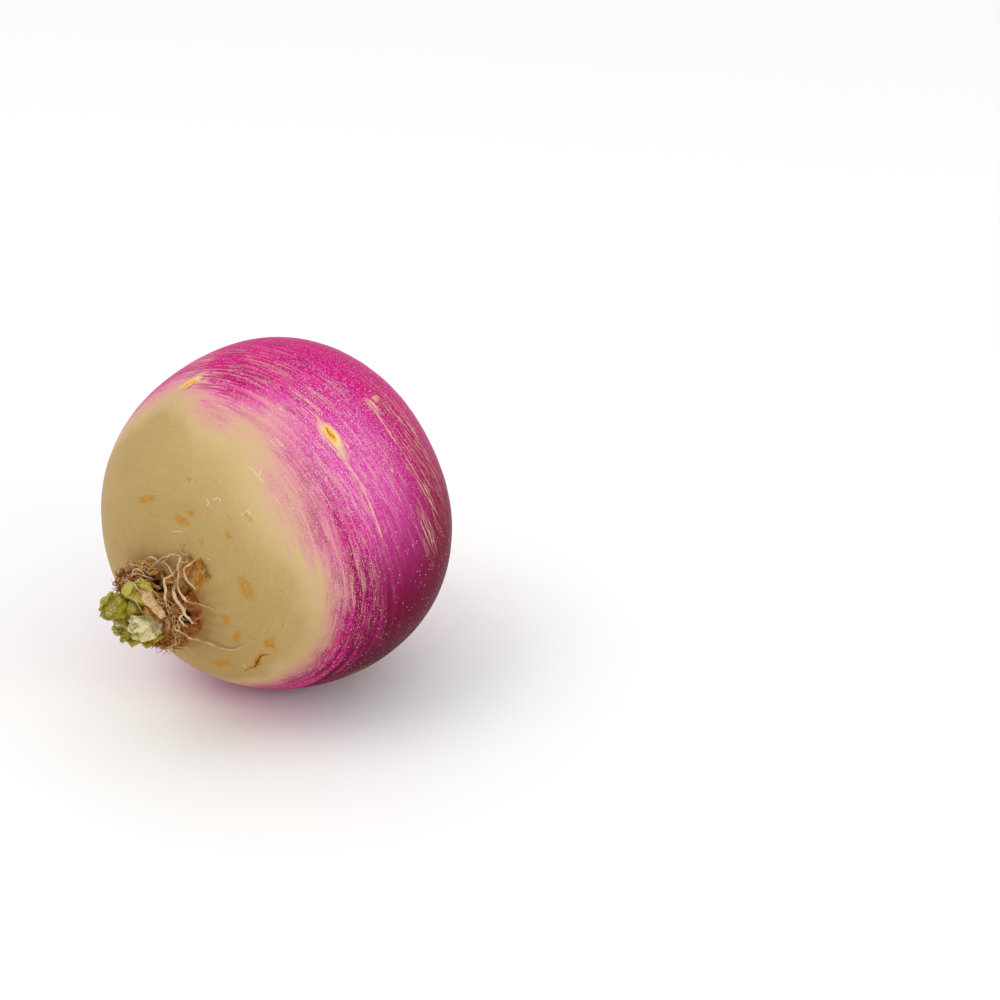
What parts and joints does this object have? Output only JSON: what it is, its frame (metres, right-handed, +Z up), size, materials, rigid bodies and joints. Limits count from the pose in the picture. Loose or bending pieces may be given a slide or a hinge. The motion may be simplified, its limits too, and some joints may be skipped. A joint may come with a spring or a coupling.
{
  "type": "turnip root",
  "caption": "Whole purple and cream turnip root lying on its side, with a corky leaf collar, cut green leaf stalks, dry scales, loose root fibres and a short trimmed taproot.",
  "frame": {"origin": "middle of the whole object's footprint, on the surface that the root lies on", "axes": "+Z up; -Y towards the crown and its leaf stalks, which nod 8 degrees below the level; +Y towards the taproot; +X to the right of someone who faces the crown"},
  "size_m": [0.0913, 0.1097, 0.0922],
  "materials": {
    "skin": "smooth satin skin, cream at the crown and streaked magenta towards the tail",
    "cork": "ragged corky brown remains of old leaf bases",
    "lime_stalk": "fresh lime green stalk, moist where it is cut",
    "olive_stalk": "olive green stalk with a grainy cut",
    "white_stalk": "whitish green stalk with a fibrous cut",
    "dry_scale": "dry papery leaf base, pinkish tan",
    "fibre": "pale dry root fibre"
  },
  "bodies": {
    "root": {"root": "skin", "crown_collar": "cork", "leaf_stalk_1": "lime_stalk", "leaf_stalk_2": "olive_stalk", "leaf_stalk_3": "olive_stalk", "leaf_stalk_4": "white_stalk", "leaf_stalk_5": "lime_stalk", "leaf_stalk_6": "lime_stalk", "dry_scale_1": "dry_scale", "dry_scale_2": "dry_scale", "dry_scale_3": "dry_scale", "dry_scale_4": "dry_scale", "crown_fibre_1": "fibre", "crown_fibre_2": "fibre", "crown_fibre_3": "fibre", "crown_fibre_4": "fibre", "crown_fibre_5": "fibre", "crown_fibre_6": "fibre"}
  },
  "joints": []
}
